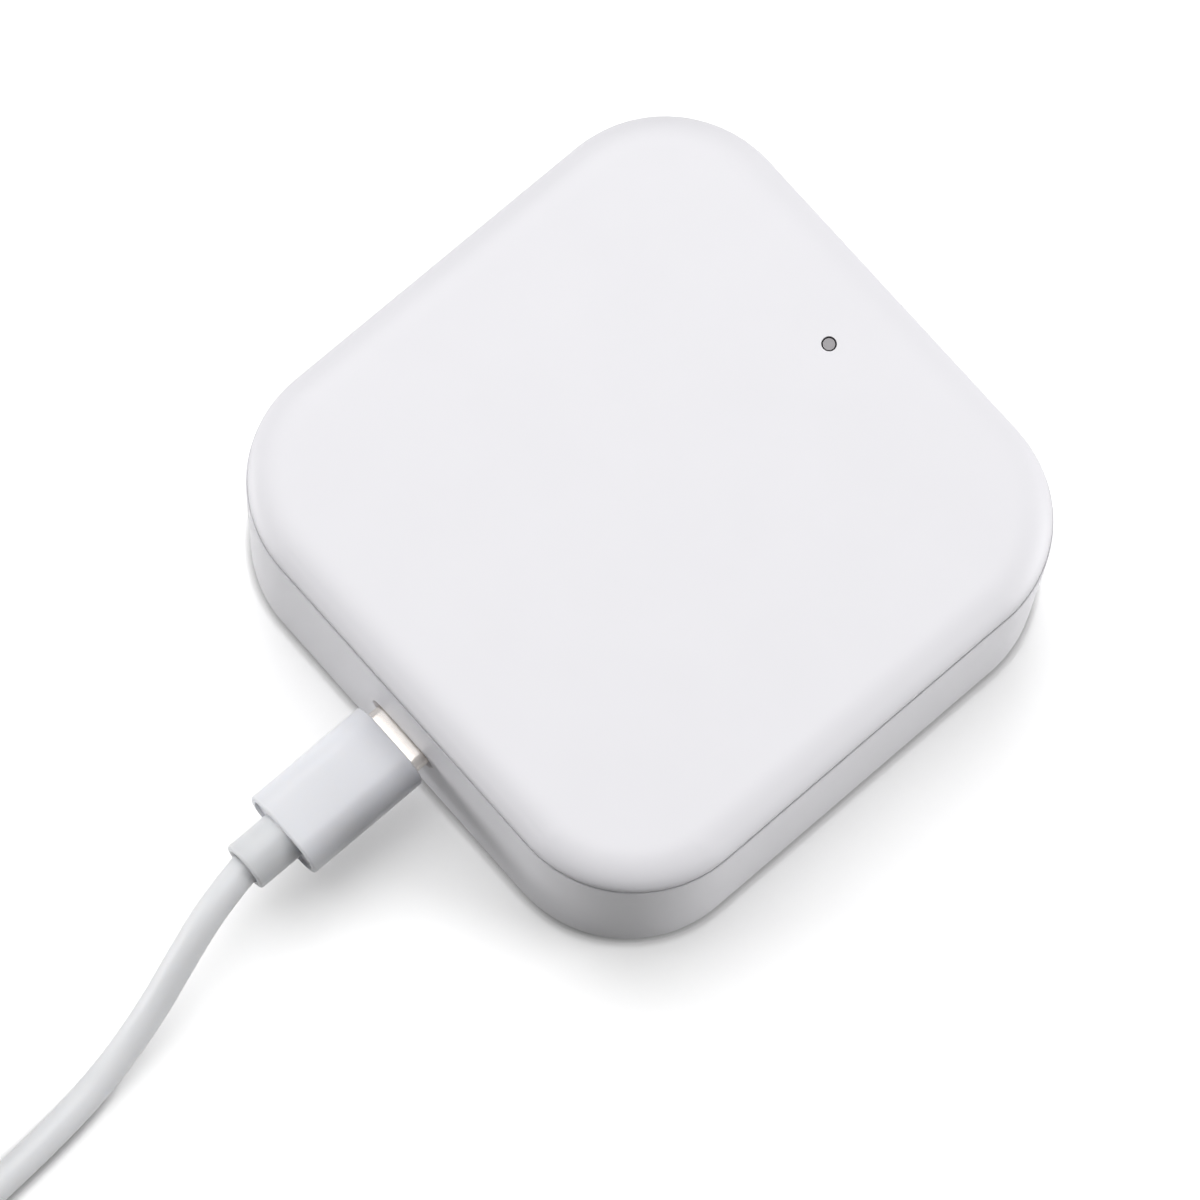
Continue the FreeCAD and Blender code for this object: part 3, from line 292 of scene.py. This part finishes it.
def moulded_sleeve(name, width, tall, side_round, length, front_y, height, rim, recess):
    """Make a plug's sleeve along -Y, from its front to a rim round a recess."""
    edit = bmesh.new()
    front = rounded_plate(edit, width, tall, side_round, 10)
    extruded = bmesh.ops.extrude_face_region(edit, geom=[front])
    moved = [item for item in extruded["geom"] if isinstance(item, bmesh.types.BMVert)]
    bmesh.ops.translate(edit, vec=(0, 0, length), verts=moved)
    ends = ring_edges(edit, 2, 0.0) + ring_edges(edit, 2, length)
    bmesh.ops.bevel(edit, geom=ends, offset=END_ROUND, offset_type="OFFSET", segments=4,
                    profile=0.5, affect="EDGES", material=-1)
    rear = max((f for f in edit.faces if f.normal.z > 0.9), key=lambda f: f.calc_center_median().z)
    bmesh.ops.inset_region(edit, faces=[rear], thickness=rim, use_even_offset=True)
    pushed = bmesh.ops.extrude_face_region(edit, geom=[rear])
    floor = [item for item in pushed["geom"] if isinstance(item, bmesh.types.BMVert)]
    bmesh.ops.translate(edit, vec=(0, 0, -recess), verts=floor)
    bmesh.ops.delete(edit, geom=[rear], context="FACES_ONLY")
    # The section was drawn flat; turn it so that its length runs along -Y.
    bmesh.ops.rotate(edit, matrix=Matrix.Rotation(math.pi / 2, 3, "X"), verts=edit.verts)
    bmesh.ops.translate(edit, vec=(0, front_y, height), verts=edit.verts)
    return finish_piece(edit, name, "plug_plastic")


sleeve = moulded_sleeve("plug_sleeve_moulding", width=10.6 * MM, tall=6.6 * MM,
                        side_round=3.0 * MM, length=15.3 * MM, front_y=-36.7 * MM,
                        height=PORT_HEIGHT, rim=0.35 * MM, recess=0.35 * MM)
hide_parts("plug_sleeve")
print("sleeve in mm:", [round(s / MM, 2) for s in sleeve.dimensions])

# %% [markdown]
# ## Strain reliefs
# Where the cord leaves a plug, a soft collar keeps it from kinking. It is turned, so a profile
# is drawn once and spun about the cord's axis. Its end has a small round and a shallow dish,
# and the cord comes out of the dish with a thin dark line round it.

# %% Spin a collar
def spun_collar(name, start_y, end_y, centre_x, height):
    """Make a collar about a line along Y, from its root to its dished end."""
    outer, bore, edge = 2.9 * MM, 1.78 * MM, 0.3 * MM
    dish = [(2.25, 0.0), (2.1, 0.12), (2.05, 0.5), (1.78, 0.6)]  # radius and depth in mm
    way = math.copysign(1.0, end_y - start_y)
    corner = [(outer - edge * (1 - math.cos(a)), end_y - way * edge * (1 - math.sin(a)))
              for a in (math.radians(d) for d in (0, 30, 60, 90))]
    profile = [(bore, start_y), (outer, start_y), *corner,
               *[(radius * MM, end_y - way * depth * MM) for radius, depth in dish]]
    edit = bmesh.new()
    points = [edit.verts.new((radius, y, 0.0)) for radius, y in profile]
    edges = [edit.edges.new(pair) for pair in zip(points, points[1:] + points[:1])]
    bmesh.ops.spin(edit, geom=points + edges, cent=(0, 0, 0), axis=(0, 1, 0),
                   angle=2 * math.pi, steps=64, use_merge=True)
    bmesh.ops.translate(edit, vec=(centre_x, 0, height), verts=edit.verts)
    return finish_piece(edit, name, "cord_jacket", sharp=50.0)


plug_collar = spun_collar("plug_strain_relief", -51.25 * MM, -57.4 * MM, 0.0, PORT_HEIGHT)
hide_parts("plug_collar")
far_collar = spun_collar("power_plug_strain_relief", -157.15 * MM, -151.0 * MM, FAR_X * MM,
                         FAR_HEIGHT * MM)
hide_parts("power_plug_collar")

# %% [markdown]
# ## Finishes
# Each finish starts from what the real surface is and how it was made. Colours are written as
# they look on a screen and one function turns them into light. A second function adds a node
# with its settings and its links, so a material reads as a list of steps.

# %% Colour and node helpers
FIRST, SECOND, MIXED = 6, 7, 2  # sockets of a Mix node that mixes colours


def light_of(hex_text):
    """Turn a screen colour like #EFEEF2 into linear light."""
    parts = [int(hex_text[i:i + 2], 16) / 255 for i in (1, 3, 5)]
    return (*[c / 12.92 if c <= 0.04045 else ((c + 0.055) / 1.055) ** 2.4 for c in parts], 1.0)


def add_node(tree, kind, settings=(), **links):
    """Add a node. Settings set its properties or sockets, links join sockets to outputs."""
    node = tree.nodes.new(kind)
    for key, value in dict(settings).items():
        if hasattr(node, key) and key not in node.inputs:
            setattr(node, key, value)
        else:
            node.inputs[key].default_value = value
    for key, output in links.items():
        socket = node.inputs[int(key[1:])] if key[1:].isdigit() else node.inputs[key]
        tree.links.new(output, socket)
    return node


def new_material(name):
    """Start a material with its shader and return the material, the tree and the shader."""
    material = bpy.data.materials.new(name)
    material.use_nodes = True
    shader = material.node_tree.nodes["Principled BSDF"]
    return material, material.node_tree, shader


# %% Moulded and cast materials
ROUGH_SPREAD, GRAIN_STRENGTH, MILKY_WEIGHT, PAINTED_SHADE_GREY = 0.05, 0.35, 0.7, "#8C8B8E"


def moulded(name, colour, other, rough, grain_mm, depth_mm, tint_mm=9.0, ior=1.5, milky_mm=0.0,
            painted_shade_mm=0.0):
    """Make a moulded plastic from two near colours and a grain. The drift of the colours keeps a
    large face from looking painted, and the grain softens and breaks up the highlights. A milky
    one lets light wander under its skin. A shade width paints shade into narrow gaps."""
    material, tree, shader = new_material(name)
    place = add_node(tree, "ShaderNodeTexCoord").outputs["Object"]
    drift = add_node(tree, "ShaderNodeTexNoise",
                     {"Scale": 1 / (tint_mm * MM), "Detail": 2.0, "Roughness": 0.5}, Vector=place)
    mixed = add_node(tree, "ShaderNodeMix", {"data_type": "RGBA"}, _0=drift.outputs["Fac"])
    mixed.inputs[FIRST].default_value = light_of(colour)
    mixed.inputs[SECOND].default_value = light_of(other)
    skin = mixed.outputs[MIXED]
    # Painted shade: an occlusion mask mixes the colour toward grey in narrow gaps.
    if painted_shade_mm:
        painted_shade_mask = add_node(tree, "ShaderNodeAmbientOcclusion",
                       {"Distance": painted_shade_mm * MM, "samples": 6})
        painted_crevice_shade = add_node(tree, "ShaderNodeMix", {"data_type": "RGBA"}, _0=painted_shade_mask.outputs["AO"],
                         _7=skin)
        painted_crevice_shade.inputs[FIRST].default_value = light_of(PAINTED_SHADE_GREY)
        skin = painted_crevice_shade.outputs[MIXED]
    tree.links.new(skin, shader.inputs["Base Color"])
    grain = add_node(tree, "ShaderNodeTexNoise",
                     {"Scale": 1 / (grain_mm * MM), "Detail": 3.0, "Roughness": 0.6}, Vector=place)
    span = add_node(tree, "ShaderNodeMapRange",
                    {"To Min": rough - ROUGH_SPREAD, "To Max": rough + ROUGH_SPREAD},
                    Value=grain.outputs["Fac"])
    tree.links.new(span.outputs["Result"], shader.inputs["Roughness"])
    bump = add_node(tree, "ShaderNodeBump", {"Strength": GRAIN_STRENGTH, "Distance": depth_mm * MM},
                    Height=grain.outputs["Fac"])
    tree.links.new(bump.outputs["Normal"], shader.inputs["Normal"])
    shader.inputs["IOR"].default_value = ior
    if milky_mm:
        shader.inputs["Subsurface Weight"].default_value = MILKY_WEIGHT
        shader.inputs["Subsurface Radius"].default_value = (1.0, 0.95, 0.9)
        shader.inputs["Subsurface Scale"].default_value = milky_mm * MM
    print(name, "is ready")
    return material


# %% [markdown]
# ## The three white plastics
# The case is injection moulded ABS with a fine satin texture from the tool. It is a cool white,
# and it reflects softly because the texture scatters the gloss. The grain of about 0.2 mm is
# finer than the picture shows, so it is drawn at 0.35 mm. Shade is painted into narrow gaps, so
# the groove and the edges of the openings are a little darker than the faces.
# The plug's sleeve is a smoother plastic, and the lead's jacket is soft and milky: light wanders
# through it, so a round cord has an even tone with a narrow dark edge.

# %% Case, plug and cord plastics
# The case's plastic paints shade where other surfaces lie within 0.7 mm.
abs_white = moulded("satin_moulded_abs", "#F0EFF3", "#EDECF0", 0.46, 0.35, 0.004, ior=1.54,
                    painted_shade_mm=0.7)
plug_white = moulded("smooth_moulded_plug_plastic", "#EEEFF3", "#EAEBF0", 0.36, 0.3, 0.002,
                     milky_mm=1.0)
jacket_white = moulded("soft_cord_jacket", "#EFF0F2", "#ECEDF0", 0.42, 0.4, 0.003, milky_mm=4.0)

# %% [markdown]
# ## Metals, rubber and the parts inside
# The plug's shell is folded steel with satin nickel. Folding and polishing leave faint lines, so
# a noise that is stretched along the plug changes its roughness and draws out the reflections.
# The pads are matt rubber and the light pipe is an acrylic pin that looks grey while the lamp is
# off. The parts on the board are resin, ceramic, copper under green mask, and gold.

# %% Plated metal
LINE_SPREAD, LINE_STRENGTH, LINE_DEPTH = 0.06, 0.2, 0.002 * MM


def plated(name, colour, rough, line_mm, stretch):
    """Make a plated metal with faint polishing lines along one direction."""
    material, tree, shader = new_material(name)
    place = add_node(tree, "ShaderNodeTexCoord").outputs["Object"]
    drawn = add_node(tree, "ShaderNodeMapping", {"Scale": stretch}, Vector=place)
    lines = add_node(tree, "ShaderNodeTexNoise", {"Scale": 1 / (line_mm * MM), "Detail": 2.0},
                     Vector=drawn.outputs["Vector"])
    span = add_node(tree, "ShaderNodeMapRange",
                    {"To Min": rough - LINE_SPREAD, "To Max": rough + LINE_SPREAD},
                    Value=lines.outputs["Fac"])
    tree.links.new(span.outputs["Result"], shader.inputs["Roughness"])
    bump = add_node(tree, "ShaderNodeBump", {"Strength": LINE_STRENGTH, "Distance": LINE_DEPTH},
                    Height=lines.outputs["Fac"])
    tree.links.new(bump.outputs["Normal"], shader.inputs["Normal"])
    shader.inputs["Base Color"].default_value = light_of(colour)
    shader.inputs["Metallic"].default_value = 1.0
    print(name, "is ready")
    return material


nickel = plated("satin_nickel_plate", "#F3EEE8", 0.24, 0.2, (1.0, 0.1, 1.0))
zinc = plated("zinc_plated_screw", "#BFBFC2", 0.32, 0.15, (1.0, 1.0, 0.2))
gold = plated("gold_flash", "#E6C36A", 0.24, 0.2, (1.0, 0.15, 1.0))

# %% Rubber, resins, ceramics and laminates
rubber = moulded("matt_rubber_pad", "#4A4A4D", "#434346", 0.78, 0.25, 0.01, tint_mm=3.0, ior=1.52)
pipe_acrylic = moulded("clear_acrylic_pin", "#999599", "#8F8B8F", 0.16, 0.5, 0.001, tint_mm=1.0,
                       ior=1.49)
green_mask = moulded("green_board_mask", "#1E6B45", "#185C3B", 0.35, 0.5, 0.006, tint_mm=4.0)
dark_mask = moulded("dark_module_mask", "#1C2733", "#18212B", 0.35, 0.5, 0.006, tint_mm=4.0)
chip_resin = moulded("chip_moulding_resin", "#2B2B2D", "#242426", 0.6, 0.12, 0.006, tint_mm=2.0)
ceramic = moulded("fired_ceramic", "#B59B78", "#A98F6D", 0.55, 0.2, 0.006, tint_mm=1.5)
lamp_resin = moulded("clear_lamp_resin", "#E6E9D8", "#DEE2CC", 0.2, 0.3, 0.001, tint_mm=1.0)
black_nylon = moulded("black_contact_nylon", "#1F1F21", "#1A1A1C", 0.5, 0.2, 0.004, tint_mm=2.0)
white_nylon = moulded("white_contact_nylon", "#ECECEC", "#E6E6E6", 0.5, 0.2, 0.004, tint_mm=2.0)

# %% Give every piece its finish
finishes = {
    "case_plastic": abs_white, "foot_rubber": rubber, "screw_steel": zinc,
    "clear_acrylic": pipe_acrylic, "board_laminate": green_mask, "module_laminate": dark_mask,
    "chip_resin": chip_resin, "ceramic": ceramic, "lamp_resin": lamp_resin,
    "plated_shell": nickel, "contact_gold": gold, "black_insulator": black_nylon,
    "white_insulator": white_nylon, "plug_plastic": plug_white, "cord_jacket": jacket_white,
}
slot_of = {part["node"]: part["material_slot"] for part in frame["record"]["subparts"]}
for name, solid in solids.items():
    solid.data.materials.clear()
    solid.data.materials.append(finishes[slot_of[name]])
for piece in (cord_piece, cover_soft, base_soft, sleeve, plug_collar, far_collar):
    piece.data.materials.clear()
    piece.data.materials.append(finishes[piece["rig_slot"]])
print("finishes:", len(finishes), "solids dressed:", len(solids))

# %% [markdown]
# ## The cord's facts
# The lead is a metre of thin wire with a plug at its far end. Its length along the curve is
# printed where the cord is laid.

# %% [markdown]
# ## Floor and light
# The photograph has a pure white ground, a soft shadow close to the case and a broad light
# from above, with two weaker ones left and right. The near corner turns away from all three,
# so it is the darkest place. The floor is a wide plane of paper. What the camera and any
# reflection see of it is white, with a narrow shadow painted into it beside each piece. Brighter
# lamps could whiten it too, but they would bleach the case. The light that the paper throws
# back on the case is weaker, as from a grey one, or the near corner would lose its shade.

# %% The floor
floor_edit = bmesh.new()
bmesh.ops.create_grid(floor_edit, x_segments=1, y_segments=1, size=3.0)
floor_mesh = bpy.data.meshes.new("table")
floor_edit.to_mesh(floor_mesh)
floor_edit.free()
table = bpy.data.objects.new("table", floor_mesh)
bpy.context.scene.collection.objects.link(table)
print("floor side in m:", table.dimensions.x)

# %% The floor's paper
SEEN_GLOW, MIRRORED_GLOW, SEEN_WHITE = 0.22, 0.45, 1.2
# How far the painted shadow beside each piece reaches in mm, and how dark it grows.
PAINTED_SHADOW_MM, PAINTED_SHADOW_DEPTH = 1.4, 1.1
BLACK, THROWN_BACK = "#000000", "#6E6E6E"
floor_material, tree, shader = new_material("white_table_paper")
shader.inputs["Roughness"].default_value = 0.9
shader.inputs["Specular IOR Level"].default_value = 0.0
shader.inputs["Emission Color"].default_value = (1.0, 1.0, 1.0, 1.0)
seen = add_node(tree, "ShaderNodeLightPath")
either = add_node(tree, "ShaderNodeMath", {"operation": "MAXIMUM"},
                  _0=seen.outputs["Is Camera Ray"], _1=seen.outputs["Is Glossy Ray"])
# Painted shadow: the last millimetre beside a piece sees little of the room, and there the paper is
# painted darker in a narrow line.
open_room = add_node(tree, "ShaderNodeAmbientOcclusion",
                     {"Distance": PAINTED_SHADOW_MM * MM, "samples": 8})
painted_shadow = add_node(tree, "ShaderNodeMath", {"operation": "POWER"}, _0=open_room.outputs["AO"])
painted_shadow.inputs[1].default_value = PAINTED_SHADOW_DEPTH
# Painted shadow: the paper seen by the camera and in reflections goes toward black by the mask.
white = add_node(tree, "ShaderNodeMix", {"data_type": "RGBA"}, _0=painted_shadow.outputs[0])
white.inputs[FIRST].default_value = light_of(BLACK)
white.inputs[SECOND].default_value = (SEEN_WHITE, SEEN_WHITE, SEEN_WHITE, 1.0)
paper = add_node(tree, "ShaderNodeMix", {"data_type": "RGBA"}, _0=either.outputs[0],
                 _7=white.outputs[MIXED])
paper.inputs[FIRST].default_value = light_of(THROWN_BACK)
tree.links.new(paper.outputs[MIXED], shader.inputs["Base Color"])
# The camera's glow on the paper is dimmed by the same painted shadow.
near_glow = add_node(tree, "ShaderNodeMath", {"operation": "MULTIPLY"}, _0=painted_shadow.outputs[0],
                     _1=seen.outputs["Is Camera Ray"])
seen_glow = add_node(tree, "ShaderNodeMath", {"operation": "MULTIPLY"}, _0=near_glow.outputs[0])
seen_glow.inputs[1].default_value = SEEN_GLOW
glow = add_node(tree, "ShaderNodeMath", {"operation": "MULTIPLY_ADD"},
                _0=seen.outputs["Is Glossy Ray"], _2=seen_glow.outputs[0])
glow.inputs[1].default_value = MIRRORED_GLOW
tree.links.new(glow.outputs[0], shader.inputs["Emission Strength"])
table.data.materials.append(floor_material)
print("the camera sees the paper at:", SEEN_WHITE, "and its glow at:", SEEN_GLOW)

# %% The surroundings
world = bpy.data.worlds.new("studio")
bpy.context.scene.world = world
world.use_nodes = True
tree = world.node_tree
around = tree.nodes["Background"]
around.inputs["Color"].default_value = (1.0, 1.0, 1.0, 1.0)
# The camera sees a white room, and what is mirrored or seen through a clear piece is dimmer.
# The lamps give nearly all of the light, with a very little from all around.
AMBIENT, MIRRORED, SEEN = 0.02, 0.5, 1.0
seen = add_node(tree, "ShaderNodeLightPath")
mirrored = add_node(tree, "ShaderNodeMath", {"operation": "MAXIMUM"},
                    _0=seen.outputs["Is Glossy Ray"], _1=seen.outputs["Is Transmission Ray"])
to_metal = add_node(tree, "ShaderNodeMapRange", {"To Min": AMBIENT, "To Max": MIRRORED},
                    Value=mirrored.outputs[0])
level = add_node(tree, "ShaderNodeMapRange", {"To Max": SEEN}, Value=seen.outputs["Is Camera Ray"])
tree.links.new(to_metal.outputs["Result"], level.inputs["To Min"])
tree.links.new(level.outputs["Result"], around.inputs["Strength"])
print("light from all around:", AMBIENT)


# %% Three soft lamps
def soft_lamp(name, side, place, power):
    """Add a square area lamp that faces the case."""
    data = bpy.data.lights.new(name, "AREA")
    data.shape = "SQUARE"
    data.size = side
    data.energy = power
    lamp = bpy.data.objects.new(name, data)
    lamp.location = place
    lamp.rotation_mode = "QUATERNION"
    lamp.rotation_quaternion = Vector(place).to_track_quat("Z", "Y")
    bpy.context.scene.collection.objects.link(lamp)


soft_lamp("softbox_above", 0.9, (-0.36, 0.12, 0.93), 8.4)
soft_lamp("lamp_left", 0.55, (-0.7, -0.7, 0.17), 5.1)
soft_lamp("lamp_right", 0.55, (0.66, 0.66, 0.35), 6.1)
print("lamps:", len(bpy.data.lights))

# %% [markdown]
# ## Colour management

# %% Colour management
bpy.context.scene.view_settings.view_transform = "Standard"
